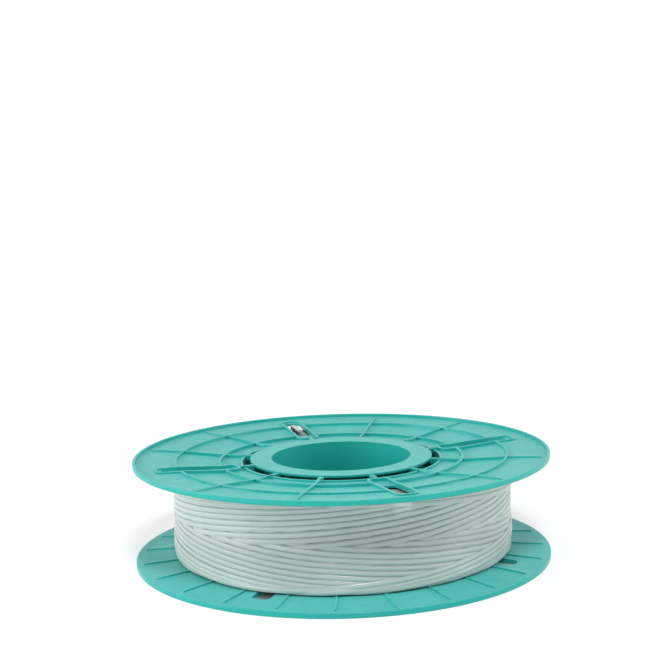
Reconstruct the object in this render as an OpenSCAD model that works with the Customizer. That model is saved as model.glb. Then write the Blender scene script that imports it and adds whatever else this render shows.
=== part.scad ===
// Wound ribbon spool: two moulded flanges on a barrel and a bore sleeve, with flat tie ribbon
// wound between them. The spool lies on its lower flange. +Z is its axis, and z = 0 is the floor.

/* [Spool] */
// Diameter of the flanges
flange_d = 246; // [220:1:300]
// Overall width across both flanges
overall_w = 62; // [50:0.5:90]
// Diameter of the bore
bore_d = 82.6; // [70:0.1:90]

/* [Flange] */
// Thickness of the rim
rim_t = 3; // [2.6:0.1:4]
// Radial width of the raised rim
rim_w = 1.9; // [1.4:0.1:3]
// Rounding of the rim's edges
rim_round = 0.5; // [0.2:0.05:0.6]
// Thickness of the web
web_t = 1.2; // [1:0.05:1.6]
// Fall of the dished web from the rim to the outer ring rib
outer_dish = 0.9; // [0.2:0.1:1.6]
// Step of the web's outer face at the outer ring rib
web_step = 0.5; // [0.2:0.05:0.8]
// Fall of the dished web from the outer ring rib to the inner one
inner_dish = 2; // [0.4:0.1:3]
// Diameter of the outer ring rib
outer_ring_d = 196; // [186:1:202]
// Diameter of the inner ring rib
inner_ring_d = 144; // [136:1:150]
// Height of the outer ring rib above the web inside it
outer_ring_h = 1.7; // [1.2:0.1:2]
// Height of the inner ring rib above the web
inner_ring_h = 1.9; // [1.2:0.1:2.4]
// Height of the radial ribs at their outer ends
rib_end_h = 0.7; // [0.4:0.05:1.1]
// Thickness of the ribs on the outer face
rib_w = 1.4; // [1:0.1:2]
// Distance from the outer ends of the radial ribs to the flange's edge
rib_stop = 5; // [4:0.5:9]
// Number of rib places on the outer face, one in three of them a tie slot
rib_places = 12; // [6:3:18]
// Number of ribs on the inner face
inner_ribs = 24; // [12:12:36]
// Height of the ribs on the inner face
inner_rib_h = 0.7; // [0.4:0.05:1.2]
// Thickness of the ribs on the inner face
inner_rib_w = 1.2; // [0.8:0.1:2]
// Distance from the ends of the inner face's ribs to the flange's edge
inner_rib_stop = 4; // [3:0.5:9]

/* [Tie slots] */
// Width of a tie slot
slot_w = 10.5; // [6:0.5:11.5]
// Distance from the axis to the inner end of a slot's through cut
slot_from = 77; // [74:1:85]
// Distance from the axis to the outer end of a slot's through cut
slot_to = 107.5; // [104:0.5:108]
// Radius of the corners of the through cut
slot_corner = 2.5; // [1:0.1:2.9]
// Thickness of the lip round a slot
lip_t = 1.6; // [1:0.1:2]
// Length of channel floor between the through cut and the lip's outer end
lip_end = 3; // [2:0.1:3.6]
// Turn of the top flange about the axis
top_turn = 18; // [0:1:89]
// Turn of the bottom flange about the axis
bottom_turn = 65; // [0:1:89]

/* [Hub] */
// Diameter of the hub plate
hub_d = 107.8; // [103:0.2:109]
// Depth of the hub plate below the rim's face
hub_drop = 2.7; // [2:0.1:3.4]
// Thickness of the hub plate
hub_t = 1.3; // [1:0.1:1.8]
// Depth of the collars that seat the tubes, from the rim's face
hub_depth = 13; // [9:0.5:18]
// Wall of the collar round the bore sleeve
collar_t = 2.2; // [1.6:0.1:3]
// Radial width of the arc windows round the hub plate
window_w = 4.5; // [3:0.1:5]
// Height of the lip round the arc windows above the web
window_lip_h = 1; // [0.4:0.1:1.6]
// Width of the bridges between the arc windows
bridge_w = 3; // [2:0.1:5]
// Length of a bridge that lies under the hub plate
bridge_in = 4; // [2:0.5:6]

/* [Barrel and sleeve] */
// Outer diameter of the barrel
barrel_d = 124; // [122.5:0.5:127]
// Wall of the barrel
barrel_t = 2; // [1.6:0.1:2.2]
// Wall of the bore sleeve
sleeve_t = 2.2; // [1.6:0.1:2.6]
// Gap between a tube and the collar that seats it
seat_gap = 0.1; // [0.05:0.05:0.2]

/* [Ribbon] */
// Diameter over the wound ribbon
wound_d = 202; // [180:0.2:203.6]
// Number of turns side by side in the last layer
turns_across = 16; // [12:1:20]
// Thickness of the ribbon at its middle, over the core wire
ribbon_t = 0.9; // [0.6:0.1:1.2]
// Thickness of the ribbon at its edges
ribbon_edge_t = 0.3; // [0.2:0.05:0.4]
// Gap between the wound ribbon and the flanges' ribs
pack_gap = 0.1; // [0.05:0.05:0.4]
// Length of the free end that lies outside the flange
tail_out = 16; // [10:1:24]
// Depth of the free end below the rim's face
tail_drop = 1.6; // [1:0.1:2]
// Slot of the top flange that the free end passes, counted from its turn
tail_slot = 1; // [0:1:3]

/* [Hidden] */

$fn = 96;
cut_past = 1;        // how far a cut runs past the face it opens
round_steps = 4;     // segments of a rounded rim edge
turn_steps = 8;      // segments across one turn of ribbon

plastic = [0.28, 0.72, 0.69];
ribbon = [0.80, 0.84, 0.82];

flange_r = flange_d/2;
bore_r = bore_d/2;
hub_r = hub_d/2;
window_r = hub_r + window_w;
barrel_r = barrel_d/2;
barrel_in_r = barrel_r - barrel_t;
sleeve_r = bore_r + sleeve_t;
collar_r = sleeve_r + seat_gap;
rim_in_r = flange_r - rim_w;
outer_ring_r = outer_ring_d/2;
inner_ring_r = inner_ring_d/2;
rib_end_r = flange_r - rib_stop;
inner_rib_end_r = flange_r - inner_rib_stop;

slots = rib_places/3;
lip_from = barrel_r + seat_gap;
lip_to = slot_to + lip_end + lip_t;
lip_w = slot_w + 2*lip_t;

// Depths of the web's inner face at the rim, at the outer ring rib and from the inner one inwards
inner_z = rim_t + outer_dish + web_step + inner_dish;
outer_z = inner_z - inner_dish;
hub_under = hub_drop + hub_t;
end_fall = outer_dish*(rim_in_r - rib_end_r)/(rim_in_r - outer_ring_r);

wound_r = wound_d/2;
pack_r = wound_r - ribbon_t;
side_gap = inner_rib_h + pack_gap;
side_z = web_z(pack_r) + side_gap;
pack_w = overall_w - 2*side_z;
turn_w = pack_w/turns_across;

// Depth of the web's inner face at a radius
function web_z(r) = lookup(r, [[inner_ring_r, inner_z], [outer_ring_r, outer_z], [rim_in_r, rim_t]]);

// The web's inner face from one radius to another, raised by some height towards the winding
function web_line(r_from, r_to, up) = concat(
    [[r_from, web_z(r_from) + up]],
    [for (r = [inner_ring_r, outer_ring_r, rim_in_r]) if (r > r_from && r < r_to) [r, web_z(r) + up]],
    [[r_to, web_z(r_to) + up]]);

function backwards(points) = [for (i = [len(points) - 1:-1:0]) points[i]];

// Points of an arc about c, from angle a to angle b
function arc(c, r, a, b) =
    [for (i = [0:round_steps]) let (t = a + (b - a)*i/round_steps) c + r*[cos(t), sin(t)]];

// Ring of rectangular section about Z
module ring(r_in, r_out, z_from, z_to) {
    rotate_extrude() translate([r_in, z_from]) square([r_out - r_in, z_to - z_from]);
}

// Bar along X with rounded corners, centred on the X axis
module bar(x_from, x_to, w, corner, z_from, z_to) {
    h = z_to - z_from;
    translate([x_from + corner, -w/2, z_from]) cube([x_to - x_from - 2*corner, w, h]);
    translate([x_from, -w/2 + corner, z_from]) cube([x_to - x_from, w - 2*corner, h]);
    for (x = [x_from + corner, x_to - corner], y = [-w/2 + corner, w/2 - corner])
        translate([x, y, z_from]) cylinder(r = corner, h = h, $fn = 24);
}

// Copies its children evenly round Z
module round_z(count, first = 0) {
    for (i = [0:count - 1]) rotate([0, 0, first + i*360/count]) children();
}

// The web's outer face, with its step at the outer ring rib, from one radius to the rim
function outer_face(r_from) = [
    [r_from, inner_z - web_t], [inner_ring_r, inner_z - web_t], [outer_ring_r, outer_z - web_t],
    [outer_ring_r, outer_z - web_t - web_step], [rim_in_r, rim_t - web_t]];

// Rim and dished web in one section
module web() {
    rotate_extrude(convexity = 4) polygon(concat(
        outer_face(window_r),
        arc([rim_in_r + rim_round, rim_round], rim_round, 180, 270),
        arc([flange_r - rim_round, rim_round], rim_round, -90, 0),
        arc([flange_r - rim_round, rim_t - rim_round], rim_round, 0, 90),
        backwards(web_line(window_r, rim_in_r, 0))));
}

// Space that the outer ribs and the slots' lips fill: from their sloping tops into the web
module rib_space() {
    rotate_extrude(convexity = 4) polygon(concat(
        [[hub_r - bridge_in/2, inner_z - web_t - inner_ring_h],
         [inner_ring_r, inner_z - web_t - inner_ring_h],
         [outer_ring_r, outer_z - web_t - outer_ring_h],
         [rib_end_r, rim_t - web_t + end_fall - rib_end_h]],
        backwards(web_line(hub_r - bridge_in/2, rib_end_r, -web_t/2))));
}

// Ring ribs, radial ribs and slot lips, as high as rib_space
module outer_ribs() {
    intersection() {
        rib_space();
        union() {
            for (r = [inner_ring_r, outer_ring_r]) ring(r - rib_w/2, r + rib_w/2, 0, inner_z);
            for (place = [0:rib_places - 1]) rotate([0, 0, place*360/rib_places])
                translate([hub_r - bridge_in/2, -rib_w/2, 0])
                    cube([(place % 3 == 0 ? lip_from + lip_t/2 : rib_end_r) - hub_r + bridge_in/2,
                          rib_w, inner_z]);
            round_z(slots) bar(lip_from, lip_to, lip_w, slot_corner + lip_t, 0, inner_z);
        }
    }
}

// Ribs that the wound ribbon leans on, set between the slots
module inner_face_ribs() {
    intersection() {
        rotate_extrude(convexity = 4) polygon(concat(
            web_line(lip_from, inner_rib_end_r, -web_t/2),
            backwards(web_line(lip_from, inner_rib_end_r, inner_rib_h))));
        round_z(inner_ribs, 180/inner_ribs) translate([lip_from, -inner_rib_w/2, 0])
            cube([inner_rib_end_r - lip_from, inner_rib_w, inner_z + inner_rib_h]);
    }
}

// Sunk hub plate on its bridges, the collar round the sleeve and the one inside the barrel
module hub() {
    ring(bore_r, hub_r, hub_drop, hub_under);
    ring(collar_r, collar_r + collar_t, hub_under - hub_t/2, hub_depth);
    ring(window_r, barrel_in_r - seat_gap, inner_z - web_t - window_lip_h, hub_depth);
    round_z(rib_places) translate([hub_r - bridge_in, -bridge_w/2, hub_under - hub_t/2])
        cube([bridge_in + (window_r + barrel_in_r)/2 - hub_r, bridge_w, inner_z - hub_under + hub_t/2]);
}

// Channel of a tie slot, sunk to the web, with the cut that goes right through
module slot_cut() {
    intersection() {
        bar(lip_from + lip_t, lip_to - lip_t, slot_w, slot_corner, -cut_past, inner_z);
        rotate_extrude(convexity = 4) polygon(concat(
            outer_face(lip_from), [[rim_in_r, -2*cut_past], [lip_from, -2*cut_past]]));
    }
    bar(slot_from, slot_to, slot_w, slot_corner, -cut_past, inner_z + inner_rib_h + cut_past);
}

// One moulding: the rim's outer face at z = 0, inner face up
module flange() {
    difference() {
        union() {
            web();
            outer_ribs();
            inner_face_ribs();
            hub();
        }
        round_z(slots) slot_cut();
    }
}

module bottom_flange() {
    color(plastic) rotate([0, 0, bottom_turn]) flange();
}

module top_flange() {
    color(plastic) translate([0, 0, overall_w]) rotate([180, 0, 0])
        rotate([0, 0, -top_turn]) flange();
}

module barrel() {
    color(plastic) ring(barrel_in_r, barrel_r, inner_z, overall_w - inner_z);
}

module bore_sleeve() {
    color(plastic) ring(bore_r, sleeve_r, hub_under, overall_w - hub_under);
}

// Wound layers under the last one, wider towards the hub as the flanges' dish allows
module ribbon_pack() {
    side = web_line(barrel_r, pack_r, side_gap);
    color(ribbon) rotate_extrude(convexity = 4) polygon(concat(
        side, backwards([for (p = side) [p.x, overall_w - p.y]])));
}

// Last layer: each turn is thick over its core wire and thin at its edges
module ribbon_outer_turns() {
    crown = ribbon_t - ribbon_edge_t;
    ridges = [for (turn = [0:turns_across - 1], k = [(turn == 0 ? 0 : 1):turn_steps])
        [pack_r + ribbon_edge_t + crown*sin(180*k/turn_steps),
         side_z + turn_w*(turn + k/turn_steps)]];
    color(ribbon) rotate_extrude(convexity = 4) polygon(concat(
        [[pack_r, side_z]], ridges, [[pack_r, side_z + pack_w]]));
}

// Free end: up off the last layer, out through a tie slot and flat in its channel
module ribbon_tail() {
    tail_top = overall_w - tail_drop;
    out_r = wound_r + ribbon_t;
    color(ribbon) rotate([0, 0, top_turn + tail_slot*360/slots]) {
        translate([wound_r, -turn_w/2, side_z + pack_w - 2*turn_w])
            cube([ribbon_t, turn_w, tail_top - side_z - pack_w + 2*turn_w]);
        translate([out_r - tail_out, -turn_w/2, tail_top - ribbon_t])
            cube([tail_out, turn_w, ribbon_t]);
    }
}

bottom_flange();
top_flange();
barrel();
bore_sleeve();
ribbon_pack();
ribbon_outer_turns();
ribbon_tail();
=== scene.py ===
import math

import bmesh
import bpy
import numpy as np
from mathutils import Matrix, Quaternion, Vector, noise


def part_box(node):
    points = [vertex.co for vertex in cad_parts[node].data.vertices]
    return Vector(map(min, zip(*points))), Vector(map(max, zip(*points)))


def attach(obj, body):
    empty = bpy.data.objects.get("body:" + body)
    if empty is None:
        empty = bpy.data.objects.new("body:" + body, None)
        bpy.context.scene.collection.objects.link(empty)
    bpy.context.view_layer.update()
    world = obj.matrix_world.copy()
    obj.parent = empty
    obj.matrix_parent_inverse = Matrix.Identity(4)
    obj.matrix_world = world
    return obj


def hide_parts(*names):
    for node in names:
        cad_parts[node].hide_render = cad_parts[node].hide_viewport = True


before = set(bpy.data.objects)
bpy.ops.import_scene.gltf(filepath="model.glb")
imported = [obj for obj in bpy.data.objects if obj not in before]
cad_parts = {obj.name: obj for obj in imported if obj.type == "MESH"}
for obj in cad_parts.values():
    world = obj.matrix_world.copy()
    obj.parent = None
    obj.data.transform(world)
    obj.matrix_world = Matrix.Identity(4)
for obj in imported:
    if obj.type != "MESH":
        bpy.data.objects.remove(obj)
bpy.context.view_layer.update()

# Metres and degrees. +Z is the spool's axis, z = 0 the floor, the camera stands at -Y.
# Angles round the axis are counted from +X towards +Y.
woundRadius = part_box("ribbon_outer_turns")[1].x
woundLow, woundHigh = (corner.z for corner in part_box("ribbon_outer_turns"))
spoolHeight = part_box("top_flange")[1].z
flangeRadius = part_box("top_flange")[1].x
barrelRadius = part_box("barrel")[1].x


# Node helpers. An input is a number, a colour or another node's output. A fade says from and to which
# value it runs and what it gives there. A cloud has a scale, a detail and a roughness.

# Where the colour sockets of a Mix node are, among those of its other kinds
mixShare, mixFirst, mixSecond, mixResult = 0, 6, 7, 2


def feed(tree, socket, value):
    if isinstance(value, bpy.types.NodeSocket):
        tree.links.new(value, socket)
    elif socket.type == "RGBA":
        socket.default_value = (*value, 1)
    else:
        socket.default_value = value


def reckon(tree, operation, first, second=0.0):
    node = tree.nodes.new("ShaderNodeMath")
    node.operation = operation
    feed(tree, node.inputs[0], first)
    feed(tree, node.inputs[1], second)
    return node.outputs[0]


def times(tree, first, second):
    return reckon(tree, "MULTIPLY", first, second)


def faded(tree, value, fade):
    node = tree.nodes.new("ShaderNodeMapRange")
    node.interpolation_type = "SMOOTHSTEP"
    feed(tree, node.inputs["Value"], value)
    for name, number in zip(("From Min", "From Max", "To Min", "To Max"), fade):
        node.inputs[name].default_value = number
    return node.outputs[0]


def joined(tree, x, y, z=0.0):
    node = tree.nodes.new("ShaderNodeCombineXYZ")
    for socket, value in zip(node.inputs, (x, y, z)):
        feed(tree, socket, value)
    return node.outputs[0]


def parted(tree, vector):
    node = tree.nodes.new("ShaderNodeSeparateXYZ")
    tree.links.new(vector, node.inputs[0])
    return node.outputs


def blended(tree, share, first, second):
    node = tree.nodes.new("ShaderNodeMix")
    node.data_type = "RGBA"
    feed(tree, node.inputs[mixShare], share)
    feed(tree, node.inputs[mixFirst], first)
    feed(tree, node.inputs[mixSecond], second)
    return node.outputs[mixResult]


def cloud(tree, place, scale, detail, roughness):
    node = tree.nodes.new("ShaderNodeTexNoise")
    node.inputs["Scale"].default_value = scale
    node.inputs["Detail"].default_value = detail
    node.inputs["Roughness"].default_value = roughness
    feed(tree, node.inputs["Vector"], place)
    return node.outputs["Fac"]


def pattern(tree, place, s):
    return faded(tree, cloud(tree, place, *s["cloud"]), s["fade"])


def relief(tree, place, s, below=None):
    node = tree.nodes.new("ShaderNodeBump")
    node.inputs["Strength"].default_value = s["strength"]
    node.inputs["Distance"].default_value = s["depth"]
    tree.links.new(cloud(tree, place, *s["cloud"]), node.inputs["Height"])
    if below is not None:
        tree.links.new(below, node.inputs["Normal"])
    return node.outputs[0]


def coordinates(tree, kind):
    return tree.nodes.new("ShaderNodeTexCoord").outputs[kind]


# Distance of a place from the axis, and the cosine and sine of its angle
def roundAxis(tree, place):
    x, y = parted(tree, place)[:2]
    radius = reckon(tree, "SQRT", reckon(tree, "ADD", times(tree, x, x), times(tree, y, y)))
    return radius, reckon(tree, "DIVIDE", x, radius), reckon(tree, "DIVIDE", y, radius)


def newMaterial(name):
    material = bpy.data.materials.new(name)
    material.use_nodes = True
    return material, material.node_tree, material.node_tree.nodes["Principled BSDF"]


# Camera and light

viewSettings = {
    "place": (0.0, -0.811861, 0.232115),
    "aim": (-0.001821, 0.0, 0.131753),
    "roll": -1.612,
    "lens": 74.829,
    "sensor": 36.0,
    "clip": (0.05, 60),
}


def addCamera(s):
    data = bpy.data.cameras.new("studioCamera")
    data.lens, data.sensor_width = s["lens"], s["sensor"]
    data.clip_start, data.clip_end = s["clip"]
    camera = bpy.data.objects.new("studioCamera", data)
    bpy.context.scene.collection.objects.link(camera)
    camera.location = s["place"]
    look = (Vector(s["aim"]) - Vector(s["place"])).to_track_quat("-Z", "Y")
    camera.rotation_mode = "QUATERNION"
    camera.rotation_quaternion = look @ Quaternion((0, 0, 1), math.radians(s["roll"]))
    bpy.context.scene.camera = camera


# The sky is full white, but dimmer towards -Y and overhead
lightSettings = {
    "depthFade": (-0.1, 0.35, 0.2, 1),      # over the direction's Y
    "horizonFade": (0.06, 0.18, 1, 0),      # over its Z: least light, white all round close to the horizon
    "heightFade": (0.13, 0.4, 1, 0.68),     # over its Z
    "lamps": {
        "key": {"place": (0.12, -0.88, 1.26), "size": 0.35, "watts": 13.6},
        "left": {"place": (-1.33, -0.48, 0.54), "size": 0.9, "watts": 12.2},
        "leftBack": {"place": (-1.45, 0.1, 0.45), "size": 0.9, "watts": 5},
        "right": {"place": (1.4, -0.12, 0.54), "size": 0.9, "watts": 9.2},
    },
}


def addWorld(s):
    world = bpy.data.worlds.new("studioWorld")
    world.use_nodes = True
    bpy.context.scene.world = world
    tree = world.node_tree
    background = tree.nodes["Background"]
    feed(tree, background.inputs["Color"], (1, 1, 1))
    way = parted(tree, coordinates(tree, "Generated"))
    depth = faded(tree, way["Y"], s["depthFade"])
    depth = reckon(tree, "MAXIMUM", depth, faded(tree, way["Z"], s["horizonFade"]))
    height = faded(tree, way["Z"], s["heightFade"])
    feed(tree, background.inputs["Strength"], times(tree, depth, height))


def addLamps(s):
    for name, lamp in s["lamps"].items():
        data = bpy.data.lights.new(name + "Light", "AREA")
        data.shape, data.size, data.energy = "DISK", lamp["size"], lamp["watts"]
        light = bpy.data.objects.new(name + "Light", data)
        bpy.context.scene.collection.objects.link(light)
        light.location = lamp["place"]
        aim = Vector((0, 0, spoolHeight / 2)) - light.location
        light.rotation_mode = "QUATERNION"
        light.rotation_quaternion = aim.to_track_quat("-Z", "Y")


# Floor that glows up to white round the spool: painted light, as it is no lamp. Its glows fade over the
# distance from the axis and stay off under the spool, painting shade into the bore and the slots.
floorSettings = {
    "size": 30.0,
    "colour": (0.5, 0.5, 0.5),
    "nearGlow": (0.085, 0.118, 0, 0.49),
    "farGlow": (0.14, 1.1, 0, 0.42),
}


def addFloor(s):
    mesh = bpy.data.meshes.new("floor")
    bm = bmesh.new()
    bmesh.ops.create_grid(bm, x_segments=1, y_segments=1, size=s["size"])
    bm.to_mesh(mesh)
    bm.free()
    floor = bpy.data.objects.new("floor", mesh)
    bpy.context.scene.collection.objects.link(floor)
    material, tree, shader = newMaterial("paleFloor")
    feed(tree, shader.inputs["Base Color"], s["colour"])
    feed(tree, shader.inputs["Roughness"], 1)
    feed(tree, shader.inputs["Specular IOR Level"], 0)
    feed(tree, shader.inputs["Emission Color"], (1, 1, 1))
    radius = roundAxis(tree, coordinates(tree, "Object"))[0]
    glows = [faded(tree, radius, s[name]) for name in ("nearGlow", "farGlow")]
    feed(tree, shader.inputs["Emission Strength"], reckon(tree, "ADD", *glows))
    mesh.materials.append(material)


# Moulded plastic: cloudy colour, faint flow lines that run out from the hub, a fine satin grain,
# paler faces that look up or down, a painted sheen, with a frosted roughness between glossier edges,
# and paler scuffs on the edge where the flanges roll and knock, which also paint a highlight along it

plasticSettings = {
    "colour": (0.0135, 0.36, 0.32),
    "deep": (0.0105, 0.335, 0.297),
    "deepShares": (0.55, 0.3),              # how much of it the mottle and the flow lines bring in
    # painted sheen: the paler colour given to faces that look up or down
    "frosted": (0.076, 0.46, 0.43),
    "frostedDeep": (0.058, 0.415, 0.385),
    "frostedDeepShares": (0.5, 0.4),
    "mottle": {"cloud": (38, 3, 0.5), "fade": (0.35, 0.65, 0, 1)},
    "flow": {"cloud": (1, 4, 0.6), "fade": (0.4, 0.7, 0, 1)},
    "flowAround": 26,
    "flowOutward": 30,
    "facingFade": (0.8, 0.97, 0, 1),        # over how far a face looks up or down
    "frost": {"cloud": (160, 4, 0.6), "fade": (0.3, 0.7, 0.8, 1)},
    # Paler scuffs on the rim edge, real wear that also paints a highlight along it
    "scuffedAndHighlit": (0.04, 0.45, 0.41),
    "scuffsAndHighlight": {"cloud": (900, 5, 0.7), "fade": (0.52, 0.66, 0, 0.5)},
    "scuffAndHighlightFrom": 0.1212,
    "roughness": {"cloud": (90, 4, 0.6), "fade": (0.3, 0.7, 0.3, 0.4)},
    "scuffRoughness": 0.2,
    "frostRoughness": 0.12,
    "specular": 0.28,
    "bloom": 0.05,
    "bloomRoughness": 0.4,
    "grain": {"cloud": (2600, 2, 0.5), "strength": 0.35, "depth": 0.00003},
    "waves": {"cloud": (55, 2, 0.5), "strength": 0.25, "depth": 0.0002},
}


def makePlastic(s):
    material, tree, shader = newMaterial("tealPlastic")
    place = coordinates(tree, "Object")
    radius, cosine, sine = roundAxis(tree, place)
    flowPlace = joined(tree, times(tree, cosine, s["flowAround"]), times(tree, sine, s["flowAround"]),
                       times(tree, radius, s["flowOutward"]))
    marks = pattern(tree, place, s["mottle"]), pattern(tree, flowPlace, s["flow"])

    def marked(colour, deep, shares):
        for mark, share in zip(marks, shares):
            colour = blended(tree, times(tree, mark, share), colour, deep)
        return colour

    wall = marked(s["colour"], s["deep"], s["deepShares"])
    # The face colour paints sheen: a paler tone for faces that look up or down
    face = marked(s["frosted"], s["frostedDeep"], s["frostedDeepShares"])
    upOrDown = reckon(tree, "ABSOLUTE", parted(tree, coordinates(tree, "Normal"))["Z"])
    # Share of the painted sheen in the colour, and of the frost in the roughness, by how far a face looks up
    # or down
    frost = times(tree, faded(tree, upOrDown, s["facingFade"]), pattern(tree, place, s["frost"]))
    # Paler scuffs near the rim edge: wear, and a painted highlight along the rim
    atEdge = faded(tree, radius, (s["scuffAndHighlightFrom"], flangeRadius, 0, 1))
    scuffsAndHighlight = times(tree, atEdge, pattern(tree, place, s["scuffsAndHighlight"]))
    colour = blended(tree, scuffsAndHighlight, blended(tree, frost, wall, face), s["scuffedAndHighlit"])
    roughness = pattern(tree, place, s["roughness"])
    for amount, added in ((scuffsAndHighlight, s["scuffRoughness"]), (frost, s["frostRoughness"])):
        roughness = reckon(tree, "ADD", roughness, times(tree, amount, added))
    feed(tree, shader.inputs["Base Color"], colour)
    feed(tree, shader.inputs["Roughness"], roughness)
    feed(tree, shader.inputs["Specular IOR Level"], s["specular"])
    feed(tree, shader.inputs["Sheen Weight"], s["bloom"])
    feed(tree, shader.inputs["Sheen Roughness"], s["bloomRoughness"])
    grain = relief(tree, place, s["grain"])
    feed(tree, shader.inputs["Normal"], relief(tree, place, s["waves"], grain))
    return material


# Ribbon plastic: milky, with drawn streaks along the strip, uneven gloss, and a darker tone towards the
# strip's edges that paints shade in the grooves where strips meet. On swept pieces U runs along the strip and
# V round its outline. The roll has no UV map, so it takes the darker edge tone all over, painted shade on its
# sides.

ribbonSettings = {
    "colour": (0.46, 0.53, 0.515),
    "cool": (0.395, 0.475, 0.462),
    "dull": (0.4, 0.455, 0.435),
    # darker tone towards the strip's edges and underside: painted shade in the grooves between strips
    "edge": (0.23, 0.28, 0.268),
    "mottle": {"cloud": (60, 3, 0.5), "fade": (0.35, 0.65, 0, 0.6)},
    "streaks": {"cloud": (1, 4, 0.6), "fade": (0.35, 0.7, 0, 0.25)},
    "streakAlong": 700.0,
    "streakAcross": 42.0,
    "turnTone": {"cloud": (1, 2, 0.5), "fade": (0.4, 0.6, 0, 0.7)},
    "toneAlong": 55.0,              # slow changes of tone, so that neighbouring turns differ
    "crest": 0.455,                 # V on the middle of the upper side
    "grooveShadeFade": (0.24, 0.36, 0, 0.6),
    "roughness": {"cloud": (0.7, 3, 0.5), "fade": (0.3, 0.7, 0.2, 0.42)},
    "specular": 0.6,
    "grain": {"cloud": (2.2, 3, 0.5), "strength": 0.3, "depth": 0.00005},
    "fine": {"cloud": (1500, 2, 0.5), "strength": 0.15, "depth": 0.00003},
}


def makeRibbonPlastic(s):
    material, tree, shader = newMaterial("whiteRibbon")
    place = coordinates(tree, "Object")
    along, across = parted(tree, tree.nodes.new("ShaderNodeUVMap").outputs[0])[:2]
    streakPlace = joined(tree, times(tree, along, s["streakAlong"]), times(tree, across, s["streakAcross"]))
    turnPlace = joined(tree, times(tree, along, s["toneAlong"]), 0)
    fromCrest = reckon(tree, "ABSOLUTE", reckon(tree, "SUBTRACT", across, s["crest"]))
    colour = s["colour"]
    for share, tone in ((pattern(tree, place, s["mottle"]), "cool"),
                        (pattern(tree, streakPlace, s["streaks"]), "cool"),
                        (pattern(tree, turnPlace, s["turnTone"]), "dull"),
                        # the edge tone paints shade in the grooves where strips meet
                        (faded(tree, fromCrest, s["grooveShadeFade"]), "edge")):
        colour = blended(tree, share, colour, s[tone])
    feed(tree, shader.inputs["Base Color"], colour)
    feed(tree, shader.inputs["Roughness"], pattern(tree, streakPlace, s["roughness"]))
    feed(tree, shader.inputs["Specular IOR Level"], s["specular"])
    grain = relief(tree, streakPlace, s["grain"])
    feed(tree, shader.inputs["Normal"], relief(tree, place, s["fine"], grain))
    return material


# Pieces

seamDistance = 1e-7
cubicMillimetres = 1e9


# Closed seams and outward normals, then an object at the origin
def finishPiece(name, mesh, smoothAngle=40):
    mesh.name = name
    bm = bmesh.new()
    bm.from_mesh(mesh)
    bmesh.ops.remove_doubles(bm, verts=bm.verts, dist=seamDistance)
    bmesh.ops.recalc_face_normals(bm, faces=bm.faces)
    bm.to_mesh(mesh)
    openEdges = sum(not edge.is_manifold for edge in bm.edges)
    volume = bm.calc_volume(signed=True) * cubicMillimetres
    print(name, len(bm.faces), "faces,", openEdges, "open edges, volume", round(volume, 1))
    bm.free()
    for face in mesh.polygons:
        face.use_smooth = True
    mesh.set_sharp_from_angle(angle=math.radians(smoothAngle))
    piece = bpy.data.objects.new(name, mesh)
    bpy.context.scene.collection.objects.link(piece)
    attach(piece, "root")
    return piece


def dress(piece, material):
    piece.data.materials.clear()
    piece.data.materials.append(material)


# Mouldings: the flanges with the small edge rounding of a mould. Short edges are merged and flat
# triangles joined first, so that the rounding runs clean.

mouldSettings = {"rounding": 0.00018, "segments": 2, "sharpFrom": 30, "merge": 0.00008, "coplanar": 0.05}


def roundedMoulding(name, node, s):
    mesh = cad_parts[node].data.copy()
    bm = bmesh.new()
    bm.from_mesh(mesh)
    bmesh.ops.remove_doubles(bm, verts=bm.verts, dist=s["merge"])
    bmesh.ops.dissolve_limit(bm, angle_limit=math.radians(s["coplanar"]), verts=bm.verts, edges=bm.edges,
                             delimit={"NORMAL"})
    bm.to_mesh(mesh)
    bm.free()
    mesh.materials.clear()
    piece = finishPiece(name, mesh, s["sharpFrom"])
    bevel = piece.modifiers.new("edgeRounding", "BEVEL")
    bevel.width, bevel.segments = s["rounding"], s["segments"]
    bevel.offset_type = "WIDTH"
    bevel.limit_method, bevel.angle_limit = "ANGLE", math.radians(s["sharpFrom"])
    bevel.use_clamp_overlap = False
    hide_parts(node)
    return piece


# Wound ribbon: one strip laid up and down between the flanges, each double stroke a little short of
# two turns, so that it lies one strip width behind the last one

windingSettings = {
    "width": 0.00335,
    "thickness": 0.0009,
    "edgeThickness": 0.0002,
    "crownPower": 0.42,
    "crownSteps": 8,
    "wireRidge": 0.00005,
    "underside": 0.96,      # share of the width that lies flat
    "lag": 20.3,            # degrees that each double stroke falls short of two turns
    "doubleStrokes": 20,
    "newestStart": 238,     # where the newest rising stroke leaves the lower flange
    "lastSweep": 207,       # how far that stroke gets before the free end leaves it
    "cornering": 0.95,      # 1 is a sharp turn at the flanges, 0 a sine wave
    "layerRise": 0.0006,
    "step": 2.5,
    "blend": 8,             # degrees over which a strip climbs onto another
    "wander": 0.0001,
    "wanderReach": 20,
    "seed": 5,
}


def smoothed(values, reach):
    window = np.hanning(2 * reach + 3)[1:-1]
    return np.convolve(np.pad(values, reach, mode="edge"), window / window.sum(), mode="valid")


# From -1 at the lower flange to 1 at the upper one, over the share of a double stroke
def traverseHeight(s, share):
    swing = math.sin(2 * math.pi * (share - 0.25))
    return math.asin(s["cornering"] * swing) / math.asin(s["cornering"])


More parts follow.
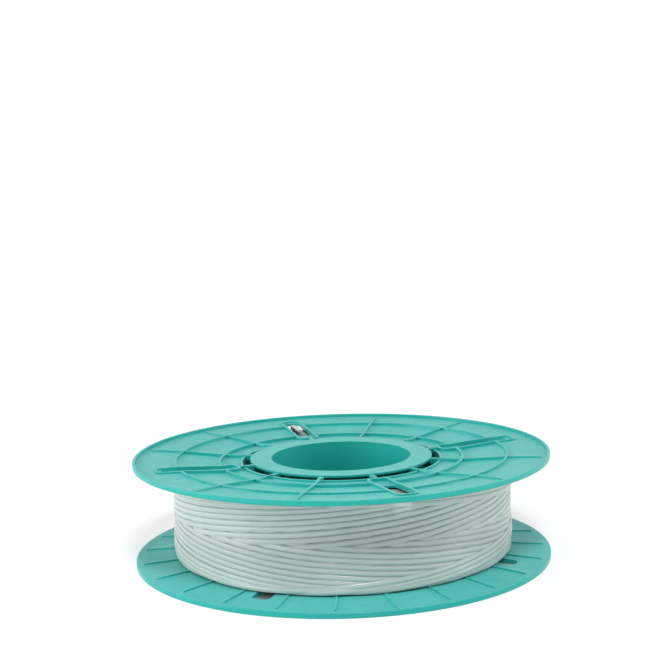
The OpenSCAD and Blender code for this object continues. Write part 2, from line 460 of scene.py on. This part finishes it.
def windingPath(s):
    stroke = 2 * 360 - s["lag"]
    total = s["doubleStrokes"] * stroke + s["lastSweep"]
    start = s["newestStart"] - s["doubleStrokes"] * stroke
    turned = np.arange(0, total + s["step"] / 2, s["step"])
    phase = np.mod(turned, stroke)
    # The number of strips below grows by one with each whole round of the pattern, and changes where
    # this stroke crosses an earlier one
    rounds = turned * s["lag"] / (360 * stroke)
    crossing = 2 * phase * (1 + s["lag"] / stroke) / 360
    layers = np.floor(rounds) + np.ceil(crossing) - np.ceil(crossing - rounds)
    layers = smoothed(layers, int(s["blend"] / s["step"]))
    wander = smoothed(np.random.RandomState(s["seed"]).normal(0, 1, len(turned)), s["wanderReach"])
    wander *= s["wander"] / wander.std()
    middle = (woundLow + woundHigh) / 2
    swing = (woundHigh - woundLow - s["width"]) / 2
    seat = woundRadius - s["thickness"] - s["wireRidge"]
    radius = seat + s["layerRise"] * (layers - np.max(layers))
    points = []
    for k, angle in enumerate(turned):
        reach = traverseHeight(s, phase[k] / stroke)
        height = middle + swing * reach + wander[k] * (1 - reach * reach)
        a = math.radians(start + angle)
        points.append((radius[k] * math.cos(a), radius[k] * math.sin(a), height))
    return points


# Outline of the strip: (outward from what it lies on, across), flat below and crowned above
def ribbonProfile(s):
    half = s["width"] / 2
    crown = s["thickness"] - s["edgeThickness"]
    points = [(0.0, half * s["underside"]), (0.0, -half * s["underside"])]
    for k in range(s["crownSteps"] + 1):
        y = -half + s["width"] * k / s["crownSteps"]
        lift = s["edgeThickness"] + crown * math.cos(math.pi * y / s["width"]) ** s["crownPower"]
        if 2 * k == s["crownSteps"]:
            lift += s["wireRidge"]
        points.append((lift, y))
    return points


def sweepRibbon(name, path, profile):
    outline = bpy.data.curves.new(name + "Outline", "CURVE")
    outline.dimensions = "2D"
    spline = outline.splines.new("POLY")
    spline.points.add(len(profile) - 1)
    for point, (lift, y) in zip(spline.points, profile):
        point.co = (lift, y, 0, 1)
    spline.use_cyclic_u = True
    outlineObject = bpy.data.objects.new(name + "Outline", outline)
    curve = bpy.data.curves.new(name + "Path", "CURVE")
    curve.dimensions = "3D"
    curve.twist_mode = "Z_UP"
    curve.bevel_mode = "OBJECT"
    curve.bevel_object = outlineObject
    curve.use_fill_caps = True
    spline = curve.splines.new("POLY")
    spline.points.add(len(path) - 1)
    for point, place in zip(spline.points, path):
        point.co = (*place, 1)
    carrier = bpy.data.objects.new(name + "Path", curve)
    for helper in (outlineObject, carrier):
        bpy.context.scene.collection.objects.link(helper)
    bpy.context.view_layer.update()
    mesh = bpy.data.meshes.new_from_object(carrier.evaluated_get(bpy.context.evaluated_depsgraph_get()))
    for helper in (carrier, outlineObject):
        data = helper.data
        bpy.data.objects.remove(helper)
        bpy.data.curves.remove(data)
    return finishPiece(name, mesh)


# Wound layers under the last one: a roll whose sides show the strip's edges, one layer on another

packSettings = {
    "outside": 0.0978,
    "layer": 0.0008,
    "layerRange": (0.9, 0.2),                       # least share of it, and what chance adds
    "dip": 0.0003,
    "dips": ((0.12, 1), (0.5, 0), (0.88, 0.8)),     # place across a layer, share of the dip there
    "uneven": 0.00022,
    "clear": 0.00006,
    "drift": 0.00012,
    "driftScale": (90, 90, 40),
    "sides": ((0.0721, 0.0072), (0.098, 0.0052)),   # radius, depth of the roll's side below the rim
    "seeds": (3, 4),
    "segments": 144,
    "smoothAngle": 80,
}


def wornSide(s, seed):
    random = np.random.RandomState(seed)
    radii, depths = zip(*s["sides"])
    least, more = s["layerRange"]
    points, radius = [], barrelRadius
    while radius < s["outside"] - s["layer"]:
        crest = s["clear"] + s["uneven"] * random.rand()
        for share, dipShare in s["dips"]:
            r = radius + share * s["layer"]
            points.append((r, float(np.interp(r, radii, depths)) + crest + s["dip"] * dipShare))
        radius += s["layer"] * (least + more * random.rand())
    return points


def addPack(s):
    bm = bmesh.new()
    below, above = (wornSide(s, seed) for seed in s["seeds"])
    section = below + [(r, spoolHeight - z) for r, z in reversed(above)]
    verts = [bm.verts.new((r, 0, z)) for r, z in section]
    edges = [bm.edges.new((verts[k - 1], verts[k])) for k in range(len(verts))]
    bmesh.ops.spin(bm, geom=verts + edges, cent=(0, 0, 0), axis=(0, 0, 1), angle=2 * math.pi,
                   steps=s["segments"], use_merge=True)
    for vert in bm.verts:
        inward = 1 if vert.co.z < spoolHeight / 2 else -1
        drift = noise.noise(vert.co * Vector(s["driftScale"]))
        vert.co.z += inward * s["drift"] * (1 + drift)
    mesh = bpy.data.meshes.new("ribbonPack")
    bm.to_mesh(mesh)
    bm.free()
    return finishPiece("ribbonPack", mesh, s["smoothAngle"])


# Free end: it leaves the last stroke, turns up over the wound turns, passes out through a tie slot
# and lies folded inwards in it. A frame is a place, the way outward from it and the way across.

tailSettings = {
    "slot": 108,
    "seat": 0.10105,        # radius of the strip's underside on the wound turns
    "climbOver": 14,        # degrees over which it climbs onto them
    "climbSteps": 40,
    "leavePull": 1.6,       # how long it holds the way of the last stroke, as a share of its way round
    "arrivePull": 1.3,      # how long it runs straight up before the slot, as a share of its rise
    "upright": 0.0525,      # height from which it runs straight up
    "foldRadius": 0.0011,
    "foldSteps": 8,
    "topDrop": 0.0016,      # the folded end lies this far below the rim
    "length": 0.0152,
    "lengthSteps": 12,
    "curl": 0.0006,
    "uvStep": 0.00003,
}


def outwardAt(angle):
    return Vector((math.cos(angle), math.sin(angle), 0))


# Value and slope at t of the curve between two ends with a pull at each
def eased(t, first, last, firstPull, lastPull):
    value = ((2 * t ** 3 - 3 * t ** 2 + 1) * first + (t ** 3 - 2 * t ** 2 + t) * firstPull
             + (3 * t ** 2 - 2 * t ** 3) * last + (t ** 3 - t ** 2) * lastPull)
    slope = ((6 * t ** 2 - 6 * t) * first + (3 * t ** 2 - 4 * t + 1) * firstPull
             + (6 * t - 6 * t ** 2) * last + (3 * t ** 2 - 2 * t) * lastPull)
    return value, slope


def climbFrames(s, before, begin):
    frames = []
    leave, slot = math.atan2(begin.y, begin.x), math.radians(s["slot"])
    slope = (begin.z - before.z) / (begin - before).to_2d().length
    beginRadius = begin.to_2d().length
    span = s["seat"] * (slot - leave)
    pull = s["leavePull"] * span
    lastPull = s["arrivePull"] * (s["upright"] - begin.z)
    for k in range(s["climbSteps"] + 1):
        t = k / s["climbSteps"]
        way, wayStep = eased(t, 0, span, pull, 0)
        height, heightStep = eased(t, begin.z, s["upright"], pull * slope, lastPull)
        turned = way / s["seat"]
        climb = min(1, math.degrees(turned) / s["climbOver"])
        radius = beginRadius + (s["seat"] - beginRadius) * climb * climb * (3 - 2 * climb)
        outward = outwardAt(leave + turned)
        around = Vector((-outward.y, outward.x, 0))
        forward = (around * wayStep + Vector((0, 0, heightStep))).normalized()
        frames.append((outward * radius + Vector((0, 0, height)), outward, forward.cross(outward)))
    return frames


def foldFrames(s, strip):
    frames = []
    outward, up = outwardAt(math.radians(s["slot"])), Vector((0, 0, 1))
    across = up.cross(outward)
    foldHeight = spoolHeight - s["topDrop"] - strip["thickness"] - strip["wireRidge"] - s["foldRadius"]
    centre = outward * (s["seat"] - s["foldRadius"]) + up * foldHeight
    for k in range(s["foldSteps"] + 1):
        a = math.pi / 2 * k / s["foldSteps"]
        lift = outward * math.cos(a) + up * math.sin(a)
        frames.append((centre + lift * s["foldRadius"], lift, across))
    for k in range(1, s["lengthSteps"] + 1):
        t = k / s["lengthSteps"]
        tilt = 2 * s["curl"] * t / s["length"]
        place = centre - outward * (s["length"] * t) + up * (s["foldRadius"] - s["curl"] * t * t)
        frames.append((place, (up - outward * tilt).normalized(), across))
    return frames


def extrudeAlong(name, frames, profile, uvStep):
    rings = [[place + outward * lift + across * y for lift, y in profile] for place, outward, across in frames]
    count = len(profile)
    bm = bmesh.new()
    end = bm.faces.new([bm.verts.new(point) for point in rings[0]])
    spots = [dict(zip(end.verts, range(count)))]
    for last, ring in zip(rings, rings[1:]):
        grown = bmesh.ops.extrude_face_region(bm, geom=[end])["geom"]
        if len(spots) > 1:      # only the first face stays, as the strip's end
            bmesh.ops.delete(bm, geom=[end], context="FACES_ONLY")
        end = next(part for part in grown if isinstance(part, bmesh.types.BMFace))
        order = {vert: min(range(count), key=lambda k: (vert.co - last[k]).length) for vert in end.verts}
        for vert, k in order.items():
            vert.co = ring[k]
        spots.append(order)
    uv = bm.loops.layers.uv.new("UVMap")
    where = {vert: (step, k) for step, order in enumerate(spots) for vert, k in order.items()}
    for face in bm.faces:
        onSeam = {0, count - 1} <= {where[vert][1] for vert in face.verts}
        for loop in face.loops:
            step, k = where[loop.vert]
            loop[uv].uv = (step * uvStep, 1 - k / count if k or not onSeam else 0)
    mesh = bpy.data.meshes.new(name)
    bm.to_mesh(mesh)
    bm.free()
    return finishPiece(name, mesh)


addCamera(viewSettings)
addWorld(lightSettings)
addLamps(lightSettings)
addFloor(floorSettings)
bpy.context.scene.view_settings.view_transform = "Standard"
plastic = makePlastic(plasticSettings)
ribbon = makeRibbonPlastic(ribbonSettings)
print("stage and materials ready")

for node in ("barrel", "bore_sleeve"):
    dress(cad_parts[node], plastic)
for name, node in (("bottomFlange", "bottom_flange"), ("topFlange", "top_flange")):
    dress(roundedMoulding(name, node, mouldSettings), plastic)

stripOutline = ribbonProfile(windingSettings)
windingPoints = windingPath(windingSettings)
outerTurns = sweepRibbon("ribbonOuterTurns", windingPoints, stripOutline)
dress(outerTurns, ribbon)
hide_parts("ribbon_outer_turns")

pack = addPack(packSettings)
dress(pack, ribbon)
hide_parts("ribbon_pack")

tailFrames = climbFrames(tailSettings, *(Vector(point) for point in windingPoints[-2:]))
tailFrames += foldFrames(tailSettings, windingSettings)
tail = extrudeAlong("ribbonTail", tailFrames, stripOutline, tailSettings["uvStep"])
dress(tail, ribbon)
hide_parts("ribbon_tail")
